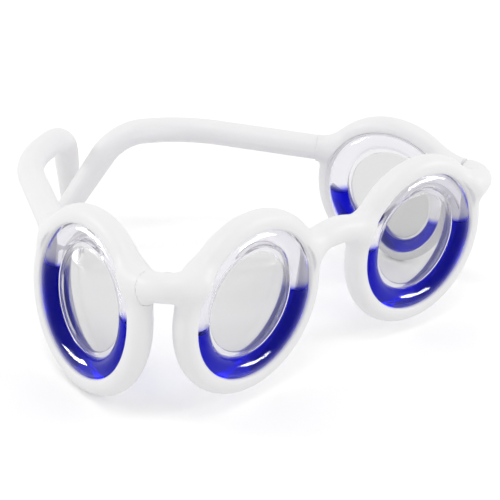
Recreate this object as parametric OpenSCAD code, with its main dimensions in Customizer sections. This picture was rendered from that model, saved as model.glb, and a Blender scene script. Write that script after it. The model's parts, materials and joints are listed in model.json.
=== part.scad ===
// Motion sickness glasses: four round rims, each round a clear ring channel half full of blue liquid.
// Two rims face forward and one stands at each temple, so the liquid level stays in view as the head tilts.
// Axes: +X to the wearer's left, +Y to the back of the head, +Z up. The origin is under the middle of
// the bounding box, on the table that the two side rims and one arm tip rest on.

/* [Rims] */
// Outer diameter of each white rim
rim_od = 60; // [52:0.5:70]
// Thickness of a rim's round section
rim_section_d = 8; // [7.6:0.1:9]
// Width of the lip that covers the channel's outer edge
lip_cover = 1; // [0.6:0.1:1.6]
// Radius that softens the lip's inner edge
lip_round = 1; // [0.4:0.1:1.2]

/* [Channel and liquid] */
// Outer diameter of the clear channel's round section
channel_d = 7.4; // [6.6:0.1:7.6]
// Wall of the clear channel
channel_wall = 0.8; // [0.6:0.05:1.2]
// Thickness of the clear window inside the channel
window_t = 1; // [0.6:0.1:1.6]
// Width of the raised land round the window
land_w = 2; // [1:0.1:3]
// Rise of the land over the window, on each side
land_rise = 0.7; // [0.3:0.1:1]
// Play between the liquid's solid and the channel wall
liquid_gap = 0.3; // [0.2:0.05:0.4]
// Part of the ring that the liquid fills
liquid_arc = 178; // [140:1:210]
// Diameter of the filling hole at the top of a channel
fill_d = 1.6; // [1.2:0.1:2]

/* [Front] */
// Distance between the centres of the two front rims
front_pitch = 74.4; // [70:0.2:84]
// Angle by which a front rim looks down
front_tilt = 6; // [0:0.5:9]
// Angle by which a front rim looks towards the middle
front_toe = 3.4; // [0:0.2:6]
// Thickness of the nose bridge
bridge_d = 9; // [7:0.2:10]
// Height of the bridge's arch over the rim centres
bridge_z = 13; // [9:0.5:15]
// Radius of the bridge's arch
bridge_arch_r = 25; // [20:0.5:40]
// Radius of the hollows where the bars run into the rims
join_r = 3; // [1.5:0.1:4]

/* [Corner and hinge] */
// Thickness of the corner bar between a front and a side rim
bar_d = 9; // [8:0.2:9.6]
// Height of the corner bars over the front rim centres
bar_z = 14.5; // [11:0.5:17]
// Centre line of the corner bar's bend
bar_bend_r = 9.7; // [9:0.1:13]
// Distance from the middle of the glasses to the corner bar's side
bar_x = 71.2; // [70:0.2:80]
// How far the corner bar's front stands before the rim centres
bar_forward = 4.8; // [2:0.2:5]
// Gap between the corner bar's end face and the temple
butt_gap = 0.3; // [0.3:0.05:0.5]
// Outer diameter of the hinge barrel
barrel_d = 4.6; // [4.2:0.1:5.2]
// Height of the hinge barrel
barrel_h = 9; // [8:0.2:10]
// Height of the temple's knuckle
middle_knuckle_h = 3; // [2.6:0.1:3.6]
// Diameter of the hinge pin
pin_d = 2; // [1.6:0.1:2.4]
// Radial play of the hinge pin in the knuckles
pin_play = 0.05; // [0.03:0.01:0.1]

/* [Temples] */
// Distance from the corner bar's end face to the side rim's section
stub_len = 6.8; // [6:0.1:9]
// Height of the side rim centres over the front rim centres
side_lift = 1.2; // [0:0.2:2]
// Toe-in of an opened side rim
side_toe = 2.5; // [0:0.5:5]
// Lean of a side rim's top towards the head
side_lean = 6.2; // [3:0.2:9]
// Rise of a temple towards the ear
temple_rise = 4.5; // [0:0.5:6]
// How far the right temple stands swung in
right_swing = 0; // [0:1:15]
// How far the left temple stands swung in
left_swing = 14.6; // [0:0.2:18]

/* [Arms] */
// Diameter of an arm from the socket to the second bend
arm_d = 9.2; // [8.2:0.1:10]
// Diameter of an arm at its tip
arm_tip_d = 7.8; // [6.6:0.1:8.4]
// First bend, behind the side rim's centre
arm_first_back = 76; // [60:0.5:90]
// First bend, over the side rim's centre
arm_first_up = 18.5; // [10:0.5:24]
// First bend, inward of the side rim's middle plane
arm_first_in = 21; // [10:0.5:30]
// Second bend, behind the side rim's centre
arm_second_back = 89.5; // [84:0.5:110]
// Second bend, over the side rim's centre
arm_second_up = 23; // [12:0.5:30]
// Second bend, inward of the side rim's middle plane
arm_second_in = 45; // [40:0.5:56]
// Tip, behind the side rim's centre
arm_tip_back = 109; // [96:0.5:120]
// Tip, under the side rim's centre
arm_tip_down = 13; // [6:0.5:20]
// Tip, inward of the side rim's middle plane
arm_tip_in = 63; // [58:0.5:70]
// Radius of the first bend
arm_first_r = 36; // [24:1:40]
// Radius of the second bend
arm_second_r = 16.5; // [10:0.5:18]
// Height of an arm's root over the side rim's centre
arm_root_up = 13.3; // [9:0.1:16]
// How far an arm's root stands inward of the side rim's middle plane
arm_root_in = 1.3; // [0:0.1:2]
// Outer diameter of the socket that holds an arm
socket_d = 9.8; // [9.2:0.1:11]
// Reach of the socket from the side rim's section
socket_len = 7; // [6.5:0.1:9]
// Diameter of the tenon that plugs an arm in
tenon_d = 5; // [4:0.2:5.6]
// Radial play of the tenon in its socket
tenon_play = 0.05; // [0.03:0.01:0.1]

/* [Stance] */
// Backward lean of the whole piece as it rests on a table
rest_pitch = 8; // [7:0.1:9]

/* [Hidden] */
$fn = 96;
seat_gap = 0.05;
shoulder_gap = 0.3;
knuckle_gap = 0.3;
barrel_clear = 0.35;
past = 1;
join_shy = 0.3;

rim_r = rim_section_d / 2;
rim_cr = rim_od / 2 - rim_r;
channel_r = channel_d / 2;
// The rim grips the outer part of the channel, so the channel's place follows the rim's size.
lip_r = rim_cr - rim_r * 0.45;
channel_cr = lip_r + lip_cover - channel_r;
bore_r = channel_cr + channel_r + seat_gap;
cavity_r = channel_r - channel_wall;
window_r = channel_cr - channel_r;

front_x = front_pitch / 2;
hinge_x = bar_x - bar_d / 2 - barrel_d / 2 - barrel_clear;
hinge_y = bar_bend_r - bar_forward;
// Horizontal distance from a rim's centre to its section at the height of the corner bar.
side_reach = sqrt(rim_cr * rim_cr - pow(bar_z - side_lift, 2));
side_x = bar_x + (bar_z - side_lift) * sin(side_lean) - side_reach * sin(side_toe);
side_y = hinge_y + stub_len + side_reach * cos(side_toe);
front_reach = sqrt(rim_cr * rim_cr - bar_z * bar_z);

// Half of the arch's angle, from its top to where it meets the middle of a rim's section.
arch_low = bridge_z - bridge_arch_r;
arch_far = norm([front_x, arch_low]);
bridge_half = 90 + atan2(arch_low, front_x)
    - acos((pow(bridge_arch_r, 2) + pow(arch_far, 2) - pow(rim_cr, 2)) / (2 * bridge_arch_r * arch_far));
bridge_foot = [bridge_arch_r * sin(bridge_half), arch_low + bridge_arch_r * cos(bridge_half)];

fill_angle = 30;
plug_len = channel_wall - 2 * seat_gap;
// Where the tenon starts, from the middle of the rim's section.
tenon_start = rim_r / 2;

// Points of the arm's centre line in the side rim's own axes: back, up and outward.
arm_root = [sqrt(rim_cr * rim_cr - arm_root_up * arm_root_up), arm_root_up, -arm_root_in];
arm_first = [arm_first_back, arm_first_up, -arm_first_in];
arm_second = [arm_second_back, arm_second_up, -arm_second_in];
arm_tip = [arm_tip_back, -arm_tip_down, -arm_tip_in];
// Direction of the arm where it leaves its socket.
arm_start = unit(arm_first - arm_root);

function unit(v) = v / norm(v);
function turn_between(a, b) = acos(unit(a) * unit(b));
// Length that a bend of radius r takes from each of the two straights that meet at a corner.
function bend_take(a, b, r) = r * tan(turn_between(a, b) / 2);
// How far a rim with the given axis reaches from its centre along X, Y or Z (0, 1 or 2).
function reach(axis, way) = rim_cr * sqrt(1 - axis[way] * axis[way]) + rim_r;
function turn_x(v, a) = [v[0], v[1] * cos(a) - v[2] * sin(a), v[1] * sin(a) + v[2] * cos(a)];
function turn_y(v, a) = [v[0] * cos(a) + v[2] * sin(a), v[1], -v[0] * sin(a) + v[2] * cos(a)];
function turn_z(v, a) = [v[0] * cos(a) - v[1] * sin(a), v[0] * sin(a) + v[1] * cos(a), v[2]];

// A direction or a point of the left side rim's own axes, taken to the glasses before they lean back.
function side_turn(v, swing) =
    turn_z(turn_z(turn_x(turn_y([v[2], v[0], v[1]], -side_lean), temple_rise), side_toe), swing);
function side_centre(swing) =
    [hinge_x, hinge_y, 0] + turn_z([side_x - hinge_x, side_y - hinge_y, side_lift], swing);
function side_point(v, swing) = side_centre(swing) + side_turn(v, swing);
function stood(v) = turn_x(v, -rest_pitch);

// Turn of a rim's liquid round the rim's axis that brings its two surfaces level, from the heights
// of the rim's own X and Y directions.
function level_turn(x, y) = atan2(-x[2], y[2]);
function front_level(side) = level_turn(
    stood(turn_z([1, 0, 0], -side * front_toe)),
    stood(turn_z(turn_x([0, 1, 0], 90 + front_tilt), -side * front_toe)));
function side_level(swing) = level_turn(
    stood(side_turn([1, 0, 0], swing)), stood(side_turn([0, 1, 0], swing)));

// Limits of the whole piece: the side rims and corner bars at the sides, the front rims or the corner
// bars in front, the arms' tips behind and the side rims below.
function side_edge(swing) =
    max(side_centre(swing)[0] + reach(side_turn([0, 0, 1], swing), 0), bar_x + bar_d / 2);
function tip_edge(swing) = stood(side_point(arm_tip, swing))[1] + arm_tip_d / 2;
function low_edge(swing) = stood(side_centre(swing))[2] - reach(stood(side_turn([0, 0, 1], swing)), 2);
front_axis = stood(turn_z(turn_x([0, 0, 1], 90 + front_tilt), front_toe));
front_edge = min(-reach(front_axis, 1), stood([0, -bar_forward, bar_z])[1] - bar_d / 2);
stance = [
    (side_edge(right_swing) - side_edge(left_swing)) / 2,
    -(front_edge + max(tip_edge(left_swing), tip_edge(right_swing))) / 2,
    -min(low_edge(left_swing), low_edge(right_swing))
];

// Stands the glasses on the table and puts the origin under the middle of them.
module stand() {
    translate(stance)
        rotate([-rest_pitch, 0, 0])
            children();
}

// Places a rim's parts, drawn round Z with the top at +Y, at a front rim. side is -1 right, 1 left.
module on_front_rim(side) {
    translate([side * front_x, 0, 0])
        rotate([0, 0, -side * front_toe])
            rotate([90 + front_tilt, 0, 0])
                children();
}

module at_front(side) {
    stand()
        on_front_rim(side)
            children();
}

// Gives the temple's own axes: the left one as drawn, the right one mirrored.
module at_temple(side) {
    swing = side > 0 ? left_swing : right_swing;
    stand()
        mirror([side > 0 ? 0 : 1, 0, 0])
            translate([hinge_x, hinge_y, 0])
                rotate([0, 0, swing])
                    translate([-hinge_x, -hinge_y, 0])
                        children();
}

// Side rim's axes inside the temple: X back, Y up, Z outward.
module on_side_rim() {
    translate([side_x, side_y, side_lift])
        rotate([0, 0, side_toe])
            rotate([temple_rise, 0, 0])
                rotate([0, -side_lean, 0])
                    rotate([90, 0, 90])
                        children();
}

module at_side(side) {
    at_temple(side)
        on_side_rim()
            children();
}

// Cuts the inner corner of the front lip round, from the middle of the ring outwards.
module lip_rounding() {
    translate([0, rim_r - lip_round])
        difference() {
            square([lip_r + lip_round, 3 * rim_r]);
            translate([lip_r + lip_round, 0])
                circle(lip_round);
        }
}

// Solid ring of a rim before it is bored: the round section and the lip that stands in from it.
module rim_blank() {
    rotate_extrude() {
        translate([rim_cr, 0])
            circle(rim_r);
        translate([lip_r, 0])
            square([rim_cr - lip_r, rim_r]);
    }
}

// Everything that is cut out of a rim: the hole in the lip, the channel's seat and the bore behind it.
module rim_pocket() {
    rotate_extrude() {
        translate([0, -2 * rim_r])
            square([lip_r, 4 * rim_r]);
        translate([0, -2 * rim_r])
            square([bore_r, 2 * rim_r]);
        translate([channel_cr, 0])
            circle(channel_r + seat_gap);
        lip_rounding();
    }
}

// Bezel that is pressed in behind the channel and holds it in the rim.
module retainer_ring() {
    rotate_extrude()
        difference() {
            translate([lip_r, -rim_r])
                square([bore_r - seat_gap - lip_r, rim_r]);
            translate([channel_cr, 0])
                circle(channel_r + seat_gap);
            mirror([0, 1])
                lip_rounding();
        }
}

module channel_half_section() {
    intersection() {
        difference() {
            translate([channel_cr, 0])
                circle(channel_r);
            translate([channel_cr, 0])
                circle(cavity_r);
        }
        square([rim_od, rim_od]);
    }
}

// Clear front moulding: half of the channel and the window that it frames.
module channel_face() {
    rotate_extrude()
        difference() {
            union() {
                channel_half_section();
                square([window_r + channel_wall / 2, window_t]);
                translate([window_r - land_w, 0])
                    square([land_w + channel_wall / 2, window_t + land_rise]);
            }
            translate([channel_cr, 0])
                circle(cavity_r);
        }
}

// Clear back moulding, with the land that it is welded on and the filling hole at the top.
module channel_back() {
    difference() {
        mirror([0, 0, 1])
            rotate_extrude()
                difference() {
                    union() {
                        channel_half_section();
                        translate([window_r - land_w, 0])
                            square([land_w + channel_wall / 2, land_rise]);
                    }
                    translate([channel_cr, 0])
                        circle(cavity_r);
                }
        at_filling()
            cylinder(h = channel_r + past, d = fill_d);
    }
}

// Axis of the filling hole, from the middle of the channel's section outwards.
module at_filling() {
    translate([0, channel_cr, 0])
        rotate([-90 - fill_angle, 0, 0])
            children();
}

module fill_plug() {
    at_filling()
        translate([0, 0, cavity_r + seat_gap])
            cylinder(h = plug_len, d = fill_d - 2 * seat_gap);
}

// Liquid in the lower part of the channel. level turns it so that its two surfaces are level.
module liquid(level) {
    rotate([0, 0, 270 - liquid_arc / 2 + level])
        rotate_extrude(angle = liquid_arc)
            translate([channel_cr, 0])
                circle(cavity_r - liquid_gap);
}

// Puts what stands on Z at a point, along a direction.
module aim(from, along) {
    translate(from)
        rotate([0, acos(along[2] / norm(along)), atan2(along[1], along[0])])
            children();
}

// A straight round bar from one point to another.
module bar(from, to, d) {
    aim(from, to - from)
        cylinder(h = norm(to - from), d = d);
}

// A round bend that joins the straight before corner b to the straight after it.
module bend(a, b, c, r, d) {
    u = unit(b - a);
    v = unit(c - b);
    n = unit(v - u * (u * v));
    centre = b - u * bend_take(u, v, r) + n * r;
    side = cross(n, -u);
    multmatrix([
        [-n[0], u[0], -side[0], centre[0]],
        [-n[1], u[1], -side[1], centre[1]],
        [-n[2], u[2], -side[2], centre[2]],
        [0, 0, 0, 1]
    ])
        rotate_extrude(angle = turn_between(u, v))
            translate([r, 0])
                circle(d = d);
}

// Knuckle for the hinge pin, with a web to the corner bar's side. web_y is the web's front face.
module knuckle(bottom, height, web_y, web_depth) {
    translate([hinge_x, hinge_y, bottom])
        cylinder(h = height, d = barrel_d);
    translate([hinge_x, hinge_y + web_y, bottom])
        cube([bar_x - hinge_x - bar_d / 4, web_depth, height]);
}

module pin_bore() {
    translate([hinge_x, hinge_y, bar_z - barrel_h / 2 - past])
        cylinder(h = barrel_h + 2 * past, d = pin_d + 2 * pin_play);
}

// Left corner bar: out of the front rim, round the corner, to its flat end at the hinge.
module corner_bar() {
    bend_x = bar_x - bar_bend_r;
    translate([front_x + front_reach, -bar_forward, bar_z])
        rotate([0, 90, 0])
            cylinder(h = bend_x - front_x - front_reach, d = bar_d);
    translate([front_x + front_reach, -bar_forward, bar_z])
        sphere(d = bar_d);
    translate([bend_x, hinge_y, bar_z])
        rotate([0, 0, -90])
            rotate_extrude(angle = 90)
                translate([bar_bend_r, 0])
                    circle(d = bar_d);
}

module front_hinge_half() {
    outer_h = (barrel_h - middle_knuckle_h) / 2 - knuckle_gap;
    web_depth = barrel_d / 2 - butt_gap / 2;
    difference() {
        union() {
            difference() {
                corner_bar();
                translate([0, hinge_y - butt_gap / 2, 0])
                    cube([2 * bar_x, rim_od, rim_od]);
            }
            for (bottom = [bar_z - barrel_h / 2, bar_z + barrel_h / 2 - outer_h])
                knuckle(bottom, outer_h, -barrel_d / 2, web_depth);
        }
        pin_bore();
    }
}

// Round arch between the middles of the two rims' sections.
module nose_bridge() {
    translate([0, 0, bridge_z - bridge_arch_r])
        rotate([90, 0, 0])
            rotate([0, 0, 90 - bridge_half])
                rotate_extrude(angle = 2 * bridge_half)
                    translate([bridge_arch_r, 0])
                        circle(d = bridge_d);
}

// Bent tube that hollows the corner between a rim and a bar. The bar lies along +X at the given height
// over the rim's centre, and the tube is above it for above = 1 and under it for above = -1.
module join_tube(height, above) {
    // A little thinner than the rim, so that the hollow comes out of the rim's surface at an angle.
    tube_r = rim_r - join_shy;
    r = join_r + tube_r;
    centre_y = height + above * r;
    centre_x = sqrt(pow(rim_cr + r, 2) - centre_y * centre_y);
    foot = 180 + atan2(centre_y, centre_x);
    translate([centre_x, centre_y, 0])
        rotate([0, 0, above > 0 ? foot : 90])
            rotate_extrude(angle = above > 0 ? 270 - foot : foot - 90)
                translate([r, 0])
                    circle(tube_r);
}

// Hollows where the bridge's leg and the corner bar run into the left front rim.
module front_joins() {
    foot = [front_x - bridge_foot[0], bridge_foot[1]];
    mirror([1, 0, 0])
        rotate([0, 0, bridge_half])
            for (above = [-1, 1])
                join_tube(foot[1] * cos(bridge_half) - foot[0] * sin(bridge_half), above);
    join_tube(bar_z, 1);
}

// One white moulding: both front rims, the nose bridge, the corner bars and their hinge knuckles.
module front_frame() {
    color("white")
        stand()
            difference() {
                union() {
                    nose_bridge();
                    for (side = [0, 1])
                        mirror([side, 0, 0]) {
                            on_front_rim(1) {
                                rim_blank();
                                front_joins();
                            }
                            front_hinge_half();
                        }
                }
                for (side = [-1, 1])
                    on_front_rim(side)
                        rim_pocket();
            }
}

module hinge_pin(side) {
    color("silver")
        stand()
            translate([side * hinge_x, hinge_y, bar_z - barrel_h / 2])
                cylinder(h = barrel_h, d = pin_d);
}

// Stub that carries the side rim on the hinge, with the temple's own knuckle.
module temple_stub() {
    difference() {
        union() {
            translate([bar_x, hinge_y + butt_gap / 2, bar_z])
                rotate([-90, 0, 0])
                    cylinder(h = stub_len - butt_gap / 2, d = bar_d);
            translate([bar_x, hinge_y + stub_len, bar_z])
                sphere(d = bar_d);
            knuckle(bar_z - middle_knuckle_h / 2, middle_knuckle_h, butt_gap / 2,
                (barrel_d - butt_gap) / 2);
        }
        pin_bore();
    }
}

module socket() {
    bar(arm_root, arm_root + arm_start * socket_len, socket_d);
    translate(arm_root)
        sphere(d = socket_d);
}

module socket_bore() {
    bore_d = tenon_d + 2 * tenon_play;
    bar(arm_root + arm_start * tenon_start, arm_root + arm_start * (socket_len + past), bore_d);
}

// White side rim with the stub to the hinge and the socket for the arm.
module side_rim(side) {
    color("white")
        at_temple(side)
            difference() {
                union() {
                    temple_stub();
                    on_side_rim() {
                        rim_blank();
                        socket();
                        mirror([1, 0, 0])
                            join_tube(bar_z - side_lift, 1);
                    }
                }
                on_side_rim() {
                    rim_pocket();
                    socket_bore();
                }
            }
}

// Solid white arm: tenon, straight, a wide bend round the head, a tight bend down, a taper and the
// round tip.
module arm(side) {
    shoulder = arm_root + arm_start * (socket_len + shoulder_gap);
    across = unit(arm_second - arm_first);
    down = unit(arm_tip - arm_second);
    take_1 = bend_take(arm_start, across, arm_first_r);
    take_2 = bend_take(across, down, arm_second_r);
    color("white")
        at_side(side) {
            bar(arm_root + arm_start * (tenon_start + seat_gap), shoulder + arm_start, tenon_d);
            bar(shoulder, arm_first - arm_start * take_1, arm_d);
            bend(arm_root, arm_first, arm_second, arm_first_r, arm_d);
            bar(arm_first + across * take_1, arm_second - across * take_2, arm_d);
            bend(arm_first, arm_second, arm_tip, arm_second_r, arm_d);
            aim(arm_second + down * take_2, down)
                cylinder(h = norm(arm_tip - arm_second) - take_2, d1 = arm_d, d2 = arm_tip_d);
            translate(arm_tip)
                sphere(d = arm_tip_d);
        }
}

module retainer() {
    color("white")
        retainer_ring();
}

module clear_face() {
    color("lavender", 0.4)
        channel_face();
}

module clear_back() {
    color("lavender", 0.4)
        channel_back();
}

module plug() {
    color("lavender")
        fill_plug();
}

module blue_liquid(level) {
    color("mediumblue")
        liquid(level);
}

front_frame();
at_front(-1) retainer();  // right_front_retainer
at_front(-1) clear_face();  // right_front_channel_face
at_front(-1) clear_back();  // right_front_channel_back
at_front(-1) plug();  // right_front_fill_plug
at_front(-1) blue_liquid(front_level(-1));  // right_front_liquid
at_front(1) retainer();  // left_front_retainer
at_front(1) clear_face();  // left_front_channel_face
at_front(1) clear_back();  // left_front_channel_back
at_front(1) plug();  // left_front_fill_plug
at_front(1) blue_liquid(front_level(1));  // left_front_liquid
hinge_pin(-1);  // right_hinge_pin
hinge_pin(1);  // left_hinge_pin
side_rim(-1);  // right_side_rim
at_side(-1) retainer();  // right_side_retainer
at_side(-1) clear_face();  // right_side_channel_face
at_side(-1) clear_back();  // right_side_channel_back
at_side(-1) plug();  // right_side_fill_plug
at_side(-1) blue_liquid(side_level(right_swing));  // right_side_liquid
arm(-1);  // right_arm
side_rim(1);  // left_side_rim
at_side(1) retainer();  // left_side_retainer
at_side(1) clear_face();  // left_side_channel_face
at_side(1) clear_back();  // left_side_channel_back
at_side(1) plug();  // left_side_fill_plug
at_side(1) blue_liquid(side_level(left_swing));  // left_side_liquid
arm(1);  // left_arm
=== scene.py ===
# Motion sickness glasses: white mouldings round four clear ring channels, half full of blue liquid.
# Lengths below are in millimetres in the glasses' own axes, as in the part's source: +X to the wearer's
# left, +Y to the back of the head, +Z up, with the origin between the centres of the two front rims.
import json
import math

import bmesh
import bpy
import numpy as np
from mathutils import Matrix, Vector


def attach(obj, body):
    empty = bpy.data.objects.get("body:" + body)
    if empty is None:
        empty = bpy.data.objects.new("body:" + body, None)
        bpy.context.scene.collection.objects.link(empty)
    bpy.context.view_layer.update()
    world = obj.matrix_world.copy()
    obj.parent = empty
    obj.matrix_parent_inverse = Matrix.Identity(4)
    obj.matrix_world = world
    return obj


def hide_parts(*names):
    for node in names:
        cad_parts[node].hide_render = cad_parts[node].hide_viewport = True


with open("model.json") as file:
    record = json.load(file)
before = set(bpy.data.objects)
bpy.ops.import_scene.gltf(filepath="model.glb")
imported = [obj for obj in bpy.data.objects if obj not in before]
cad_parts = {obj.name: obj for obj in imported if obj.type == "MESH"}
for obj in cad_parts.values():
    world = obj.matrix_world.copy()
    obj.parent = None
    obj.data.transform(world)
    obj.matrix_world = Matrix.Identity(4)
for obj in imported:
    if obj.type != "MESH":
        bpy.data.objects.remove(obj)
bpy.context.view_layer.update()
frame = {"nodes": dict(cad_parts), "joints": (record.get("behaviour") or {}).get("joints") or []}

MM = 0.001

# Rims and channels: _R is a radius, _CR the radius at which a round section turns
RIM_R = 4.0
RIM_CR = 26.0
LIP_R = 24.2
LIP_ROUND = 1.0
CHANNEL_R = 3.7
CHANNEL_CR = 21.5
SEAT_BORE_R = 25.25
SEAT_GAP = 0.05
CAVITY_R = 2.9
CAVITY_BACK = 0.35
WINDOW_T = 0.7
WINDOW_EDGE = 0.3
LAND_R = 16.3
LAND_RISE = 0.2
LAND_ROUND = 0.1

# Front frame
FRONT_X = 37.2
FRONT_TILT = 6.0
FRONT_TOE = 3.4
BRIDGE_R = 4.5
BRIDGE_FOOT_R = 3.9
BRIDGE_ARCH_R = 25.0
BRIDGE_ARCH_Z = -12.0
BRIDGE_HALF = 31.2
BAR_R = 4.5
BAR_ROOT_R = 4.0
BAR_X = 71.2
BAR_Z = 14.5
BAR_FORWARD = 4.8
BAR_BEND_R = 9.7
HINGE = np.array([64.05, 4.9, 14.5])
BUTT_GAP = 0.03
BUTT_MARGIN = 1.6
BUTT_ROOM = 0.1
BARREL_R = 2.3
BARREL_LOW = 10.2
BARREL_H = 5.4
MIDDLE_KNUCKLE_H = 2.0
KNUCKLE_GAP = 0.2
PIN_R = 1.0
PIN_BORE_R = 1.05
PIN_PROUD = 0.15
PIN_ROUND = 0.3

# Temples, in the left temple's own axes before it swings
SIDE_CENTRE = np.array([71.6619, 34.0195, 1.2])
SIDE_TOE = 2.5
SIDE_LEAN = 6.2
TEMPLE_RISE = 4.5
STUB_LEN = 6.8
SWING = {"right": 0.0, "left": 14.6}
ARM_ROOT = [22.3408, 13.3, -1.3]
ARM_FIRST = [76.0, 18.5, -21.0]
SOCKET_ROOT_R = 4.2
SOCKET_R = 4.9
SOCKET_LEN = 7.25
TENON_BORE_R = 2.55
TENON_START = 2.0

REST_PITCH = 8.0

# Where the liquid stands in each ring, over the ring's centre, and how it climbs the wall
LEVELS = {"right_side": 2.6, "right_front": -2.7, "left_front": 1.5, "left_side": -5.2}
CLIMB = 2.4
CLIMB_WIDTH = 0.5
WETTING = 0.03

# How far the mouldings' hollows reach where a bar runs into a rim, and how soft their crisp edges are
HOLLOW = 5.0
CRISP = 0.35
SHARP = 0.02

# The mouldings' meshes: spacing, the space of each, how near to a flat face's edge a point is moved onto
# the face, and how far a hole's cutter runs past it
STEP = 0.4
FRONT_SPACE = (-77.5, -11, -31.5), (77.5, 10.5, 31.5)
TEMPLE_SPACE = (59, 2, -31.5), (80, 68, 33)
EDGE_REACH = 0.7 * STEP
EDGE_BAND = 1.0
PAST = 1.0


def turn(angle, axis):
    """3 x 3 matrix that turns by an angle in degrees round X, Y or Z."""
    return np.array(Matrix.Rotation(math.radians(angle), 3, axis))


def unit(v):
    v = np.asarray(v, float)
    return v / np.linalg.norm(v)


# The glasses lean back as they rest on the table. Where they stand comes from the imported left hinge.
LEAN = turn(-REST_PITCH, "X")
joints = {j["name"]: j for j in frame["joints"]}
STANCE = np.array(joints["left_hinge"]["pos_m"]) / MM - LEAN @ HINGE


def stood(points):
    """Points of the glasses' own axes, in the frame's, in metres."""
    return (np.asarray(points) @ LEAN.T + STANCE) * MM


def temple_stood(points, side):
    """Points of the left temple's own axes, at rest on the left or mirrored to the right, in metres."""
    foot = np.array([HINGE[0], HINGE[1], 0])
    swung = (points - foot) @ turn(SWING[side], "Z").T + foot
    return stood(swung * [1 if side == "left" else -1, 1, 1])


class Ring:
    """A rim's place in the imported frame: its centre, its axis towards the lip and the way down."""

    def __init__(self, name):
        joint = joints[name + "_level"]
        self.centre = np.array(joint["pos_m"]) / MM
        self.axis = unit(joint["axis"])
        self.down = unit(np.array([0, 0, -1]) + self.axis * self.axis[2])
        self.across = np.cross(self.down, self.axis)

    def place(self, radius, angle, height):
        """Points at a radius, an angle from straight down and a height towards the lip, in metres."""
        radial = (np.multiply.outer(np.cos(angle), self.down)
                  + np.multiply.outer(np.sin(angle), self.across))
        return (self.centre + np.asarray(radius)[..., None] * radial
                + np.asarray(height)[..., None] * self.axis) * MM


# Meshes

def put(name, points, faces, sharp_angle=None):
    """Makes an object of points in metres and faces, smooth but for edges over the sharp angle."""
    mesh = bpy.data.meshes.new(name)
    mesh.from_pydata(np.asarray(points).reshape(-1, 3).tolist(), [], [list(f) for f in faces])
    tidy = bmesh.new()
    tidy.from_mesh(mesh)
    bmesh.ops.remove_doubles(tidy, verts=tidy.verts, dist=1e-7)
    bmesh.ops.recalc_face_normals(tidy, faces=tidy.faces)
    tidy.to_mesh(mesh)
    tidy.free()
    mesh.shade_smooth()
    if sharp_angle:
        mesh.set_sharp_from_angle(angle=math.radians(sharp_angle))
    piece = bpy.data.objects.new(name, mesh)
    bpy.context.scene.collection.objects.link(piece)
    return piece


def smooth_min(a, b, reach):
    """Union of two distance fields with a hollow where they meet."""
    near = np.maximum(reach - np.abs(a - b), 0) / reach
    return np.minimum(a, b) - near * near * reach / 4


def cut(a, b, reach=CRISP):
    """The first field without the second."""
    return -smooth_min(-a, b, reach)


def capped(side, end):
    """Distance to a form from the distances to its side and to its end planes."""
    return np.minimum(np.maximum(side, end), 0) + np.hypot(np.maximum(side, 0), np.maximum(end, 0))


def rod(p, start, end, radius):
    """Distance to a round rod with flat ends."""
    along = unit(end - start)
    q = p - start
    t = q @ along
    side = np.sqrt(np.maximum((q * q).sum(-1) - t * t, 0)) - radius
    return capped(side, np.maximum(-t, t - np.linalg.norm(end - start)))


def tapered(p, start, end, start_radius, end_radius):
    """Distance to a round bar with round ends that grows from one radius to the other."""
    along = unit(end - start)
    length = np.linalg.norm(end - start)
    t = np.clip((p - start) @ along, 0, length)
    radius = start_radius + (end_radius - start_radius) * t / length
    return np.linalg.norm(p - start - t[..., None] * along, axis=-1) - radius


def block(p, low, high):
    """Distance to a box."""
    q = np.maximum(low - p, p - high)
    return np.minimum(q.max(-1), 0) + np.linalg.norm(np.maximum(q, 0), axis=-1)


def section_place(p, centre, axis):
    """Radius and height of points in a rim's own section."""
    q = p - centre
    z = q @ axis
    return np.sqrt(np.maximum((q * q).sum(-1) - z * z, 0)), z


def rim_form(rho, z):
    """Round rim with the lip that stands in from it."""
    lip = np.maximum(np.maximum(LIP_R - rho, rho - RIM_CR), np.maximum(-z, z - RIM_R))
    return np.minimum(np.hypot(rho - RIM_CR, z) - RIM_R, lip)


def rim_hole(rho, z):
    """The hole in the lip, the channel's seat, the bore behind it and the lip's rounding."""
    bore = np.maximum(rho - SEAT_BORE_R, z)
    seat = np.hypot(rho - CHANNEL_CR, z) - CHANNEL_R - SEAT_GAP
    edge = rho - LIP_R - LIP_ROUND
    rounding = np.maximum(np.maximum(edge, RIM_R - LIP_ROUND - z),
                          LIP_ROUND - np.hypot(edge, z - RIM_R + LIP_ROUND))
    return np.minimum(np.minimum(rho - LIP_R, bore), np.minimum(seat, rounding))


def knuckle(p, bottom, height, web_front, web_depth):
    """Hinge knuckle with the web that carries it."""
    barrel = rod(p, np.array([HINGE[0], HINGE[1], bottom]),
                 np.array([HINGE[0], HINGE[1], bottom + height]), BARREL_R)
    web = block(p, np.array([HINGE[0], HINGE[1] + web_front, bottom]),
                np.array([BAR_X - BAR_R / 2, HINGE[1] + web_front + web_depth, bottom + height]))
    return np.minimum(barrel, web)


def pin_hole(p):
    """Bore for the hinge pin."""
    middle = BARREL_LOW + BARREL_H / 2
    return np.maximum(np.hypot(p[..., 0] - HINGE[0], p[..., 1] - HINGE[1]) - PIN_BORE_R,
                      np.abs(p[..., 2] - middle) - BARREL_H / 2 - PAST)


FRONT_AXIS = turn(-FRONT_TOE, "Z") @ turn(90 + FRONT_TILT, "X") @ [0, 0, 1]
SIDE_TURN = turn(SIDE_TOE, "Z") @ turn(TEMPLE_RISE, "X") @ turn(-SIDE_LEAN, "Y")


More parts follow.
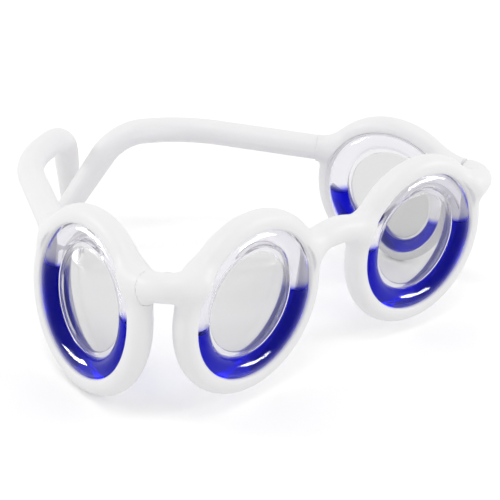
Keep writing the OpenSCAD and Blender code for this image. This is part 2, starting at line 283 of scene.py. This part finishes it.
def front_form(p):
    """Front moulding: rims, nose bridge, corner bars and the outer hinge knuckles."""
    p = np.stack([np.abs(p[..., 0]), p[..., 1], p[..., 2]], -1)
    x, y, z = p[..., 0], p[..., 1], p[..., 2]
    rho, height = section_place(p, np.array([FRONT_X, 0, 0]), FRONT_AXIS)
    foot = math.radians(BRIDGE_HALF)
    way = np.clip(np.arctan2(x, z - BRIDGE_ARCH_Z), 0, foot)
    arch = np.linalg.norm(np.stack([x - BRIDGE_ARCH_R * np.sin(way), y,
                                    z - BRIDGE_ARCH_Z - BRIDGE_ARCH_R * np.cos(way)], -1), axis=-1)
    arch = arch - BRIDGE_R - (BRIDGE_FOOT_R - BRIDGE_R) * (way / foot) ** 2
    bend_x = BAR_X - BAR_BEND_R
    reach = math.sqrt(RIM_CR ** 2 - BAR_Z ** 2)
    straight = tapered(p, np.array([FRONT_X + reach, -BAR_FORWARD / 2, BAR_Z]),
                       np.array([bend_x, -BAR_FORWARD, BAR_Z]), BAR_ROOT_R, BAR_R)
    bend = np.hypot(np.hypot(x - bend_x, y - HINGE[1]) - BAR_BEND_R, z - BAR_Z) - BAR_R
    # The bar swells where it meets the temple, so that the hollow between bar and side rim starts on it.
    side_rim = rim_form(*section_place(p, SIDE_CENTRE, SIDE_TURN[:, 0]))
    swell = np.maximum(smooth_min(bend, side_rim, HOLLOW),
                       np.hypot(x - BAR_X, z - BAR_Z) - BAR_R - BUTT_MARGIN + BUTT_ROOM)
    bend = np.minimum(bend, swell)
    bend = np.maximum(np.maximum(bend, bend_x - x), y - HINGE[1] + BUTT_GAP / 2)
    form = smooth_min(rim_form(rho, height), arch, HOLLOW)
    form = smooth_min(form, np.minimum(straight, bend), HOLLOW)
    outer = (BARREL_H - MIDDLE_KNUCKLE_H) / 2 - KNUCKLE_GAP
    for bottom in (BARREL_LOW, BARREL_LOW + BARREL_H - outer):
        form = smooth_min(form, knuckle(p, bottom, outer, -BARREL_R, BARREL_R - BUTT_GAP / 2), CRISP)
    form = cut(form, pin_hole(p))
    return cut(form, rim_hole(rho, height))


def on_side_rim(v):
    """A direction given back, up and outward of the side rim, in the temple's axes."""
    return SIDE_TURN @ np.array([v[2], v[0], v[1]])


SOCKET_FOOT = SIDE_CENTRE + on_side_rim(ARM_ROOT)
SOCKET_WAY = unit(on_side_rim(np.subtract(ARM_FIRST, ARM_ROOT)))


def temple_form(p):
    """Side moulding of the left temple: rim, stub with the middle knuckle, and the arm's socket."""
    y = p[..., 1]
    rho, height = section_place(p, SIDE_CENTRE, SIDE_TURN[:, 0])
    butt = np.array([BAR_X, HINGE[1] + BUTT_GAP / 2, BAR_Z])
    stub_end = np.array([BAR_X, HINGE[1] + STUB_LEN, BAR_Z])
    stub = rod(p, butt, stub_end, BAR_R)
    stub = np.minimum(stub, np.linalg.norm(p - stub_end, axis=-1) - BAR_R)
    socket = tapered(p, SOCKET_FOOT, SOCKET_FOOT + SOCKET_WAY * (SOCKET_LEN + 2 * PAST),
                     SOCKET_ROOT_R, SOCKET_R)
    form = smooth_min(rim_form(rho, height), stub, HOLLOW)
    form = smooth_min(form, socket, HOLLOW)
    # The flat faces towards the corner bar and the arm stay flat.
    before = np.hypot(p[..., 0] - BAR_X, p[..., 2] - BAR_Z) - BAR_R - BUTT_MARGIN
    form = cut(form, np.maximum(y - butt[1], before), SHARP)
    form = cut(form, SOCKET_LEN - (p - SOCKET_FOOT) @ SOCKET_WAY, SHARP)
    middle = knuckle(p, BARREL_LOW + (BARREL_H - MIDDLE_KNUCKLE_H) / 2, MIDDLE_KNUCKLE_H,
                     BUTT_GAP / 2, BARREL_R - BUTT_GAP / 2)
    form = smooth_min(form, middle, CRISP)
    form = cut(form, pin_hole(p))
    form = cut(form, rod(p, SOCKET_FOOT + SOCKET_WAY * TENON_START,
                         SOCKET_FOOT + SOCKET_WAY * (SOCKET_LEN + 2 * PAST), TENON_BORE_R))
    return cut(form, rim_hole(rho, height))


def settled(form, points, step, times):
    """Points moved onto the surface where a distance field is zero."""
    small = step / 10
    for _ in range(times):
        value = form(points)
        slope = np.stack([form(points + np.eye(3)[k] * small) - form(points - np.eye(3)[k] * small)
                          for k in range(3)], -1) / (2 * small)
        size = np.maximum((slope * slope).sum(-1), 0.1)
        points = points - np.clip(value / size, -step / 2, step / 2)[:, None] * slope
    return points


def skin(form, low, high, step):
    """Points and quads on the surface where a distance field is zero."""
    lines = [np.arange(a, b + step, step) for a, b in zip(low, high)]
    grid = np.stack(np.meshgrid(*lines, indexing="ij"), -1)
    inside = form(grid) < 0
    corners = sum(inside[i:i - 1 or None, j:j - 1 or None, k:k - 1 or None].astype(np.int8)
                  for i in (0, 1) for j in (0, 1) for k in (0, 1))
    cells = (corners > 0) & (corners < 8)
    index = np.full(cells.shape, -1)
    index[cells] = np.arange(cells.sum())
    points = grid[:-1, :-1, :-1][cells] + step / 2
    quads = []
    for way in range(3):
        a = np.moveaxis(inside, way, 0)
        near = np.moveaxis(index, way, 0)
        here, there = a[:-1, 1:-1, 1:-1], a[1:, 1:-1, 1:-1]
        around = np.stack([near[:, :-1, :-1], near[:, 1:, :-1], near[:, 1:, 1:], near[:, :-1, 1:]], -1)
        quads.append(around[here & ~there])
        quads.append(around[~here & there][:, ::-1])
    quads = np.concatenate(quads)
    corners = quads.ravel()
    share = np.bincount(corners)[:, None]
    # Between two settlings each point moves halfway to the middle of its neighbours, for an even mesh.
    for times in (4, 3, 3):
        points = settled(form, points, step, times)
        middles = np.repeat(points[quads].mean(1), 4, axis=0)
        around = np.stack([np.bincount(corners, middles[:, k]) for k in range(3)], -1) / share
        points = (points + around) / 2
    return settled(form, points, step, 3), quads


def crisp_face(points, centre, way, radius):
    """Moves the points beside a flat face of about this radius onto its plane, for a crisp edge."""
    q = points - centre
    t = q @ way
    r = np.linalg.norm(q - t[:, None] * way, axis=-1)
    near = (np.abs(t) < EDGE_REACH) & (np.abs(r - radius) < EDGE_BAND)
    points[near] -= t[near][:, None] * way
    return points


def revolve(name, place, profiles, steps=256, sharp_angle=30):
    """Turns closed profiles of radius and height round an axis, given by where a point of it lies.

    A second profile is a hollow in the first, so its faces look inward.
    """
    points, faces = [], []
    angle = np.linspace(0, 2 * math.pi, steps, endpoint=False)
    for profile in profiles:
        profile = np.asarray(profile, float)
        count, first = len(profile), sum(len(p) for p in points)
        turned = place(np.tile(profile[:, 0], (steps, 1)), np.tile(angle[:, None], (1, count)),
                       np.tile(profile[:, 1], (steps, 1)))
        points.append(turned.reshape(-1, 3))
        for i in range(steps):
            for j in range(count):
                k, m = (j + 1) % count, (i + 1) % steps
                if profile[j, 0] or profile[k, 0]:
                    faces.append([first + i * count + j, first + i * count + k,
                                  first + m * count + k, first + m * count + j])
    piece = put(name, np.concatenate(points), faces, sharp_angle)
    if len(profiles) > 1:
        hollow = len(piece.data.vertices) - len(profiles[1]) * steps
        tidy = bmesh.new()
        tidy.from_mesh(piece.data)
        bmesh.ops.reverse_faces(tidy, faces=[f for f in tidy.faces if f.verts[0].index >= hollow])
        tidy.to_mesh(piece.data)
        tidy.free()
    return piece


def arc(centre, radius, start, end, steps):
    """Points of a profile on an arc, by angles in degrees from the outward direction."""
    a = np.radians(np.linspace(start, end, steps))
    return np.stack([centre[0] + radius * np.cos(a), centre[1] + radius * np.sin(a)], -1).tolist()


def eased(points, radius, steps=4):
    """A profile with its corners rounded, but for those on the axis."""
    out = []
    for i, p in enumerate(points):
        p, a, b = np.array(p), np.array(points[i - 1]), np.array(points[(i + 1) % len(points)])
        if p[0] < 1e-6:
            out.append(p.tolist())
            continue
        u, v = unit(a - p), unit(b - p)
        half = math.acos(np.clip(u @ v, -1, 1)) / 2
        take = min(radius / math.tan(half), np.linalg.norm(a - p) / 2, np.linalg.norm(b - p) / 2)
        for t in np.linspace(0, 1, steps):
            start, end = p + u * take, p + v * take
            out.append(((1 - t) ** 2 * start + 2 * t * (1 - t) * p + t ** 2 * end).tolist())
    return out


def flattened(height):
    """Height in the bore, whose back half is moulded flatter than its front half."""
    return np.where(height < 0, height * CAVITY_BACK, height)


def channel(name, ring):
    """Clear channel, welded from its two halves, with the land and the window inside it."""
    low = -WINDOW_T / 2
    high = WINDOW_T / 2
    land = math.degrees(math.asin((high + LAND_RISE) / CHANNEL_R))
    land_back = [[0, low], [LAND_R, low], [LAND_R, low - LAND_RISE]]
    land_front = [[LAND_R, high + LAND_RISE], [LAND_R, high], [0, high]]
    tube = arc((CHANNEL_CR, 0), CHANNEL_R, 180 + land, 540 - land, 96)
    eased_back = eased(land_back + [tube[0]], LAND_ROUND)
    eased_front = eased([tube[-1]] + land_front, LAND_ROUND)
    outer = eased_back[:-4] + tube + eased_front[4:]
    cavity = [[r, flattened(h)] for r, h in arc((CHANNEL_CR, 0), CAVITY_R, 360, 0, 81)[:-1]]
    return revolve(name, ring.place, [outer, cavity])


def hinge_pin(name, side):
    """Pin with a slightly domed head at each end."""
    way = 1 if side == "left" else -1

    def place(radius, angle, height):
        return stood(np.stack([way * (HINGE[0] + radius * np.cos(angle)),
                               HINGE[1] + radius * np.sin(angle), height], -1))

    low, high = BARREL_LOW - PIN_PROUD, BARREL_LOW + BARREL_H + PIN_PROUD
    profile = eased([[0, low], [PIN_R, low], [PIN_R, high], [0, high]], PIN_ROUND, 6)
    return revolve(name, place, [profile], 64)


def retainer(name, ring):
    """Bezel pressed in behind the channel."""
    outer_r = SEAT_BORE_R - SEAT_GAP
    seat_r = CHANNEL_R + SEAT_GAP
    top = -math.degrees(math.acos((outer_r - CHANNEL_CR) / seat_r))
    bottom = -math.degrees(math.acos((LIP_R - CHANNEL_CR) / seat_r))
    profile = arc((CHANNEL_CR, 0), seat_r, top, bottom, 12)
    profile += arc((outer_r, LIP_ROUND - RIM_R), LIP_ROUND, 180, 270, 12)
    return revolve(name, ring.place, [profile])


def liquid(name, ring, level):
    """Liquid up to a level over the ring's centre, with surfaces that climb at the channel's wall."""
    wall_r = CAVITY_R + WETTING
    steep = math.sqrt(1 - ring.axis[2] ** 2)
    phi = np.linspace(0, 2 * math.pi, 72, endpoint=False)

    def surface_angle(share):
        radius = CHANNEL_CR + wall_r * share * np.cos(phi)
        height = flattened(wall_r * share * np.sin(phi))
        rise = level + CLIMB * math.exp(-(1 - share) * wall_r / CLIMB_WIDTH)
        return radius, np.arccos((height * ring.axis[2] - rise) / (radius * steep)), height

    rows = []
    shares = (0.0, 0.25, 0.45, 0.6, 0.72, 0.8, 0.86, 0.91, 0.95, 0.98)
    for share in shares:
        radius, angle, height = surface_angle(share)
        rows.append(ring.place(radius, -angle, height))
    radius, angle, height = surface_angle(1.0)
    for t in np.linspace(-1, 1, 161):
        rows.append(ring.place(radius, angle * t, height))
    for share in reversed(shares):
        radius, angle, height = surface_angle(share)
        rows.append(ring.place(radius, angle, height))
    count = len(phi)
    faces = [[i * count + j, i * count + (j + 1) % count, (i + 1) * count + (j + 1) % count,
              (i + 1) * count + j] for i in range(len(rows) - 1) for j in range(count)]
    return put(name, np.concatenate(rows), faces, 40)


# Materials

def colour(code):
    """Linear colour of an sRGB hex value."""
    parts = [int(code[i:i + 2], 16) / 255 for i in (1, 3, 5)]
    return [c / 12.92 if c <= 0.04045 else ((c + 0.055) / 1.055) ** 2.4 for c in parts] + [1.0]


def add(tree, kind, settings=None, links=None):
    """Adds a node with its settings and the links into its sockets."""
    node = tree.nodes.new(kind)
    for name, value in (settings or {}).items():
        if isinstance(name, int) or name in node.inputs:
            node.inputs[name].default_value = value
        else:
            setattr(node, name, value)
    for name, source in (links or {}).items():
        tree.links.new(source, node.inputs[name])
    return node


def new_material(name):
    material = bpy.data.materials.new(name)
    material.use_nodes = True
    material.node_tree.nodes.clear()
    return material, material.node_tree


def lit_through(tree, glass, tint):
    """Bends what is seen through it, but lets the lamps and the fill light straight in to what is there.

    Light that has bounced about inside many times also leaves straight on, so that no edge goes black.
    """
    ray = add(tree, "ShaderNodeLightPath")
    light = add(tree, "ShaderNodeMath", {"operation": "MAXIMUM"},
                {0: ray.outputs["Is Shadow Ray"], 1: ray.outputs["Is Diffuse Ray"]})
    tired = add(tree, "ShaderNodeMath", {"operation": "GREATER_THAN", 1: 7.5},
                {0: ray.outputs["Ray Depth"]})
    either = add(tree, "ShaderNodeMath", {"operation": "MAXIMUM"},
                 {0: light.outputs[0], 1: tired.outputs[0]})
    trapped = add(tree, "ShaderNodeMath", {"operation": "GREATER_THAN", 1: 2.5},
                  {0: ray.outputs["Glossy Depth"]})
    every = add(tree, "ShaderNodeMath", {"operation": "MAXIMUM"},
                {0: either.outputs[0], 1: trapped.outputs[0]})
    straight = add(tree, "ShaderNodeBsdfTransparent", {"Color": colour(tint)})
    mix = add(tree, "ShaderNodeMixShader", None,
              {0: every.outputs[0], 1: glass.outputs[0], 2: straight.outputs[0]})
    return mix.outputs[0]


def moulded_white():
    """ABS, injection moulded in a finely spark-eroded tool: an even white with a soft satin sheen."""
    material, tree = new_material("white_abs_satin_moulded")
    place = add(tree, "ShaderNodeTexCoord")
    # Erosion grain of about 0.1 mm, drawn at 0.35 mm so that it shows.
    grain = add(tree, "ShaderNodeTexNoise", {"Scale": 2900.0, "Detail": 2.0},
                {"Vector": place.outputs["Object"]})
    # Flow of the melt: broad, very faint differences of sheen over some 12 mm.
    flow = add(tree, "ShaderNodeTexNoise", {"Scale": 80.0, "Detail": 2.0},
               {"Vector": place.outputs["Object"]})
    tone = add(tree, "ShaderNodeMix", {"data_type": "RGBA"}, {"Factor": flow.outputs["Fac"]})
    tone.inputs[6].default_value = colour("#F3F2F3")
    tone.inputs[7].default_value = colour("#F7F6F7")
    sheen = add(tree, "ShaderNodeMapRange", {"To Min": 0.36, "To Max": 0.46},
                {"Value": flow.outputs["Fac"]})
    bump = add(tree, "ShaderNodeBump", {"Strength": 0.12, "Distance": 0.00003},
               {"Height": grain.outputs["Fac"]})
    surface = add(tree, "ShaderNodeBsdfPrincipled", {"IOR": 1.53, "Subsurface Weight": 0.0},
                  {"Base Color": tone.outputs[2], "Roughness": sheen.outputs["Result"],
                   "Normal": bump.outputs["Normal"]})
    add(tree, "ShaderNodeOutputMaterial", None, {"Surface": surface.outputs["BSDF"]})
    return material


def clear_acrylic(name, tint, roughness, bending=1.49, mirror="#828282"):
    """Acrylic, moulded in a polished tool: glass-clear, with bright edges.

    The surroundings are whiter than a studio's, so the mirror colour dims what it reflects of them.
    """
    material, tree = new_material(name)
    place = add(tree, "ShaderNodeTexCoord")
    # Shrink marks of some 5 mm, which make the reflections swim a little.
    shrink = add(tree, "ShaderNodeTexNoise", {"Scale": 200.0, "Detail": 1.0},
                 {"Vector": place.outputs["Object"]})
    bump = add(tree, "ShaderNodeBump", {"Strength": 0.15, "Distance": 0.00004},
               {"Height": shrink.outputs["Fac"]})
    surface = add(tree, "ShaderNodeBsdfPrincipled",
                  {"Base Color": colour(tint), "Roughness": roughness, "IOR": bending,
                   "Specular Tint": colour(mirror), "Transmission Weight": 1.0},
                  {"Normal": bump.outputs["Normal"]})
    add(tree, "ShaderNodeOutputMaterial", None, {"Surface": lit_through(tree, surface, "#F8F8F9")})
    return material


def dyed_water():
    """Water with blue dye: it glows blue where it is thin and is nearly navy where it is deep.

    The acrylic's wall takes up most of the bending, so little is left for this surface.
    """
    material, tree = new_material("dyed_water")
    surface = add(tree, "ShaderNodeBsdfPrincipled",
                  {"Base Color": colour("#FFFFFF"), "Roughness": 0.0, "IOR": 1.15,
                   "Specular Tint": colour("#404040"), "Transmission Weight": 1.0})
    # The dye takes the red and green within 3 mm and lets three fifths of the blue through the bore.
    dye = add(tree, "ShaderNodeVolumeAbsorption", {"Color": colour("#5E60F5"), "Density": 1500.0})
    add(tree, "ShaderNodeOutputMaterial", None,
        {"Surface": lit_through(tree, surface, "#FFFFFF"), "Volume": dye.outputs["Volume"]})
    return material


def drawn_steel():
    """Stainless steel wire, drawn and cut: fine lines round the pin catch the light."""
    material, tree = new_material("steel_drawn_wire")
    place = add(tree, "ShaderNodeTexCoord")
    lines = add(tree, "ShaderNodeTexWave", {"bands_direction": "Z", "Scale": 1500.0, "Distortion": 1.0},
                {"Vector": place.outputs["Object"]})
    rough = add(tree, "ShaderNodeMapRange", {"To Min": 0.24, "To Max": 0.38},
                {"Value": lines.outputs["Fac"]})
    surface = add(tree, "ShaderNodeBsdfPrincipled",
                  {"Base Color": colour("#C4C4C6"), "Metallic": 1.0, "Anisotropic": 0.4},
                  {"Roughness": rough.outputs["Result"]})
    add(tree, "ShaderNodeOutputMaterial", None, {"Surface": surface.outputs["BSDF"]})
    return material


WHITE = moulded_white()
CLEAR = clear_acrylic("acrylic_polished_tube", "#E9E8EB", 0.02)
BORE = clear_acrylic("acrylic_wetted_bore", "#FDFDFF", 0.0, 1.2, "#404040")
PANE = clear_acrylic("acrylic_polished_window", "#DCDCDC", 0.02, 1.49, "#404040")
PLUG = clear_acrylic("acrylic_frosted_plug", "#F4F4F6", 0.35)
LIQUID = dyed_water()
STEEL = drawn_steel()


def dress(piece, *materials):
    piece.data.materials.clear()
    for material in materials:
        piece.data.materials.append(material)


# Pieces

def moulding(name, body, node, points, quads):
    piece = put(name, points, quads, 50)
    dress(piece, WHITE)
    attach(piece, body)
    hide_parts(node)


points, quads = skin(front_form, *FRONT_SPACE, STEP)
for way in (-1, 1):
    butt = np.array([way * BAR_X, HINGE[1] - BUTT_GAP / 2, BAR_Z])
    points = crisp_face(points, butt, np.array([0, 1, 0]), BAR_R)
moulding("front_moulding", "front", "front_frame", stood(points), quads)

points, quads = skin(temple_form, *TEMPLE_SPACE, STEP)
butt = np.array([BAR_X, HINGE[1] + BUTT_GAP / 2, BAR_Z])
points = crisp_face(points, butt, np.array([0, 1, 0]), BAR_R)
points = crisp_face(points, SOCKET_FOOT + SOCKET_WAY * SOCKET_LEN, SOCKET_WAY,
                    SOCKET_ROOT_R + (SOCKET_R - SOCKET_ROOT_R) * SOCKET_LEN / (SOCKET_LEN + 2 * PAST))
for side in ("right", "left"):
    moulding(side + "_temple_moulding", side + "_temple", side + "_side_rim",
             temple_stood(points, side), quads)

for side in ("right", "left"):
    for where in ("front", "side"):
        rim = side + "_" + where
        ring = Ring(rim)
        body = "front" if where == "front" else side + "_temple"
        clear = channel(rim + "_channel", ring)
        dress(clear, CLEAR, BORE, PANE)
        for face in clear.data.polygons:
            middle = np.array(face.center) / MM - ring.centre
            height = middle @ ring.axis
            radius = np.linalg.norm(middle - ring.axis * height)
            in_bore = math.hypot(radius - CHANNEL_CR, height) < (CAVITY_R + CHANNEL_R) / 2
            face.material_index = 1 if in_bore else 2 if radius < LAND_R - WINDOW_EDGE else 0
        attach(clear, body)
        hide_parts(rim + "_channel_face", rim + "_channel_back")
        bezel = retainer(rim + "_bezel", ring)
        dress(bezel, WHITE)
        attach(bezel, body)
        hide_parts(rim + "_retainer")
        filling = liquid(rim + "_filling", ring, LEVELS[rim])
        dress(filling, LIQUID)
        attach(filling, rim + "_liquid_body")
        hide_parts(rim + "_liquid")
        dress(frame["nodes"][rim + "_fill_plug"], PLUG)
    dress(frame["nodes"][side + "_arm"], WHITE)
    pin = hinge_pin(side + "_pin", side)
    dress(pin, STEEL)
    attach(pin, "front")
    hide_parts(side + "_hinge_pin")


# Floor, light and camera

def seen_directly(tree):
    """1 for what the camera sees, also in a reflection or through glass."""
    ray = add(tree, "ShaderNodeLightPath")
    both = add(tree, "ShaderNodeMath", {"operation": "MAXIMUM"},
               {0: ray.outputs["Is Camera Ray"], 1: ray.outputs["Is Glossy Ray"]})
    every = add(tree, "ShaderNodeMath", {"operation": "MAXIMUM"},
                {0: both.outputs[0], 1: ray.outputs["Is Transmission Ray"]})
    return every.outputs[0]


def studio_floor():
    material, tree = new_material("studio_floor_white_laminate")
    seen = seen_directly(tree)
    plain = add(tree, "ShaderNodeBsdfDiffuse", {"Color": colour("#EDEDED")})
    bright = add(tree, "ShaderNodeBsdfDiffuse", {"Color": colour("#FFFFFF")})
    lift = add(tree, "ShaderNodeEmission", {"Color": colour("#FFFFFF"), "Strength": 0.12})
    shown = add(tree, "ShaderNodeAddShader", None, {0: bright.outputs[0], 1: lift.outputs[0]})
    mix = add(tree, "ShaderNodeMixShader", None, {0: seen, 1: plain.outputs[0], 2: shown.outputs[0]})
    add(tree, "ShaderNodeOutputMaterial", None, {"Surface": mix.outputs[0]})
    return material


FLOOR_HALF = 3.0
corners = [[x * FLOOR_HALF, y * FLOOR_HALF, 0] for x, y in ((-1, -1), (1, -1), (1, 1), (-1, 1))]
floor = put("floor", corners, [[0, 1, 2, 3]])
dress(floor, studio_floor())

scene = bpy.context.scene
world = bpy.data.worlds.new("studio")
world.use_nodes = True
scene.world = world
tree = world.node_tree
tree.nodes.clear()
FILL = 0.80
strength = add(tree, "ShaderNodeMapRange", {"To Min": FILL, "To Max": 1.0},
               {"Value": seen_directly(tree)})
sky = add(tree, "ShaderNodeBackground", {"Color": colour("#FFFFFF")},
          {"Strength": strength.outputs["Result"]})
add(tree, "ShaderNodeOutputWorld", None, {"Surface": sky.outputs[0]})


def softbox(name, towards, distance, size, radiance):
    """A soft lamp that looks at the glasses, given by how bright its face is."""
    lamp = bpy.data.lights.new(name, "AREA")
    lamp.shape = "RECTANGLE"
    lamp.size, lamp.size_y = size
    lamp.energy = radiance * math.pi * size[0] * size[1]
    holder = bpy.data.objects.new(name, lamp)
    scene.collection.objects.link(holder)
    way = Vector(unit(towards).tolist())
    holder.location = way * distance + Vector((0, 0, 0.03))
    holder.rotation_euler = way.to_track_quat("Z", "Y").to_euler()
    return holder


for name, towards, distance, size, radiance in (
        ("top_box", (-0.4, -0.3, 1.5), 1.6, (0.5, 0.35), 4.0),
        ("right_box", (0.756, -0.655, 0.42), 1.2, (0.25, 0.3), 7.0),
        ("left_box", (-0.756, 0.655, 0.42), 1.2, (0.25, 0.3), 7.0)):
    softbox(name, towards, distance, size, radiance)

# Two strips that only the clear channels reflect: they draw the broad white glints along the tubes.
channels = bpy.data.collections.new("channels")
for rim in LEVELS:
    channels.objects.link(bpy.data.objects[rim + "_channel"])
for name, towards in (("right_strip", (0.63, -0.776, 0.20)), ("left_strip", (-0.696, 0.718, 0.20))):
    strip = softbox(name, towards, 1.2, (0.6, 0.42), 70.0)
    strip.light_linking.receiver_collection = channels

AZIMUTH, ELEVATION, ROLL = (math.radians(a) for a in (-40.88236, 21.20201, -2.04561))
DISTANCE = 468.7
LOOK_AT = np.array([0, 41.527, -4.690])
LENS = 98.06
back = np.array([math.sin(AZIMUTH) * math.cos(ELEVATION), -math.cos(AZIMUTH) * math.cos(ELEVATION),
                 math.sin(ELEVATION)])
level_right = np.array([math.cos(AZIMUTH), math.sin(AZIMUTH), 0])
level_up = np.cross(back, level_right)
right = level_right * math.cos(ROLL) + level_up * math.sin(ROLL)
up = level_up * math.cos(ROLL) - level_right * math.sin(ROLL)
view = LEAN @ np.stack([right, up, back], -1)
camera = bpy.data.objects.new("camera", bpy.data.cameras.new("camera"))
scene.collection.objects.link(camera)
camera.data.sensor_width = 36.0
camera.data.lens = LENS
camera.data.clip_start = 0.01
camera.matrix_world = Matrix.Translation(stood(LOOK_AT + back * DISTANCE).tolist()) @ Matrix(
    view.tolist()).to_4x4()
scene.camera = camera
scene.view_settings.view_transform = "Standard"
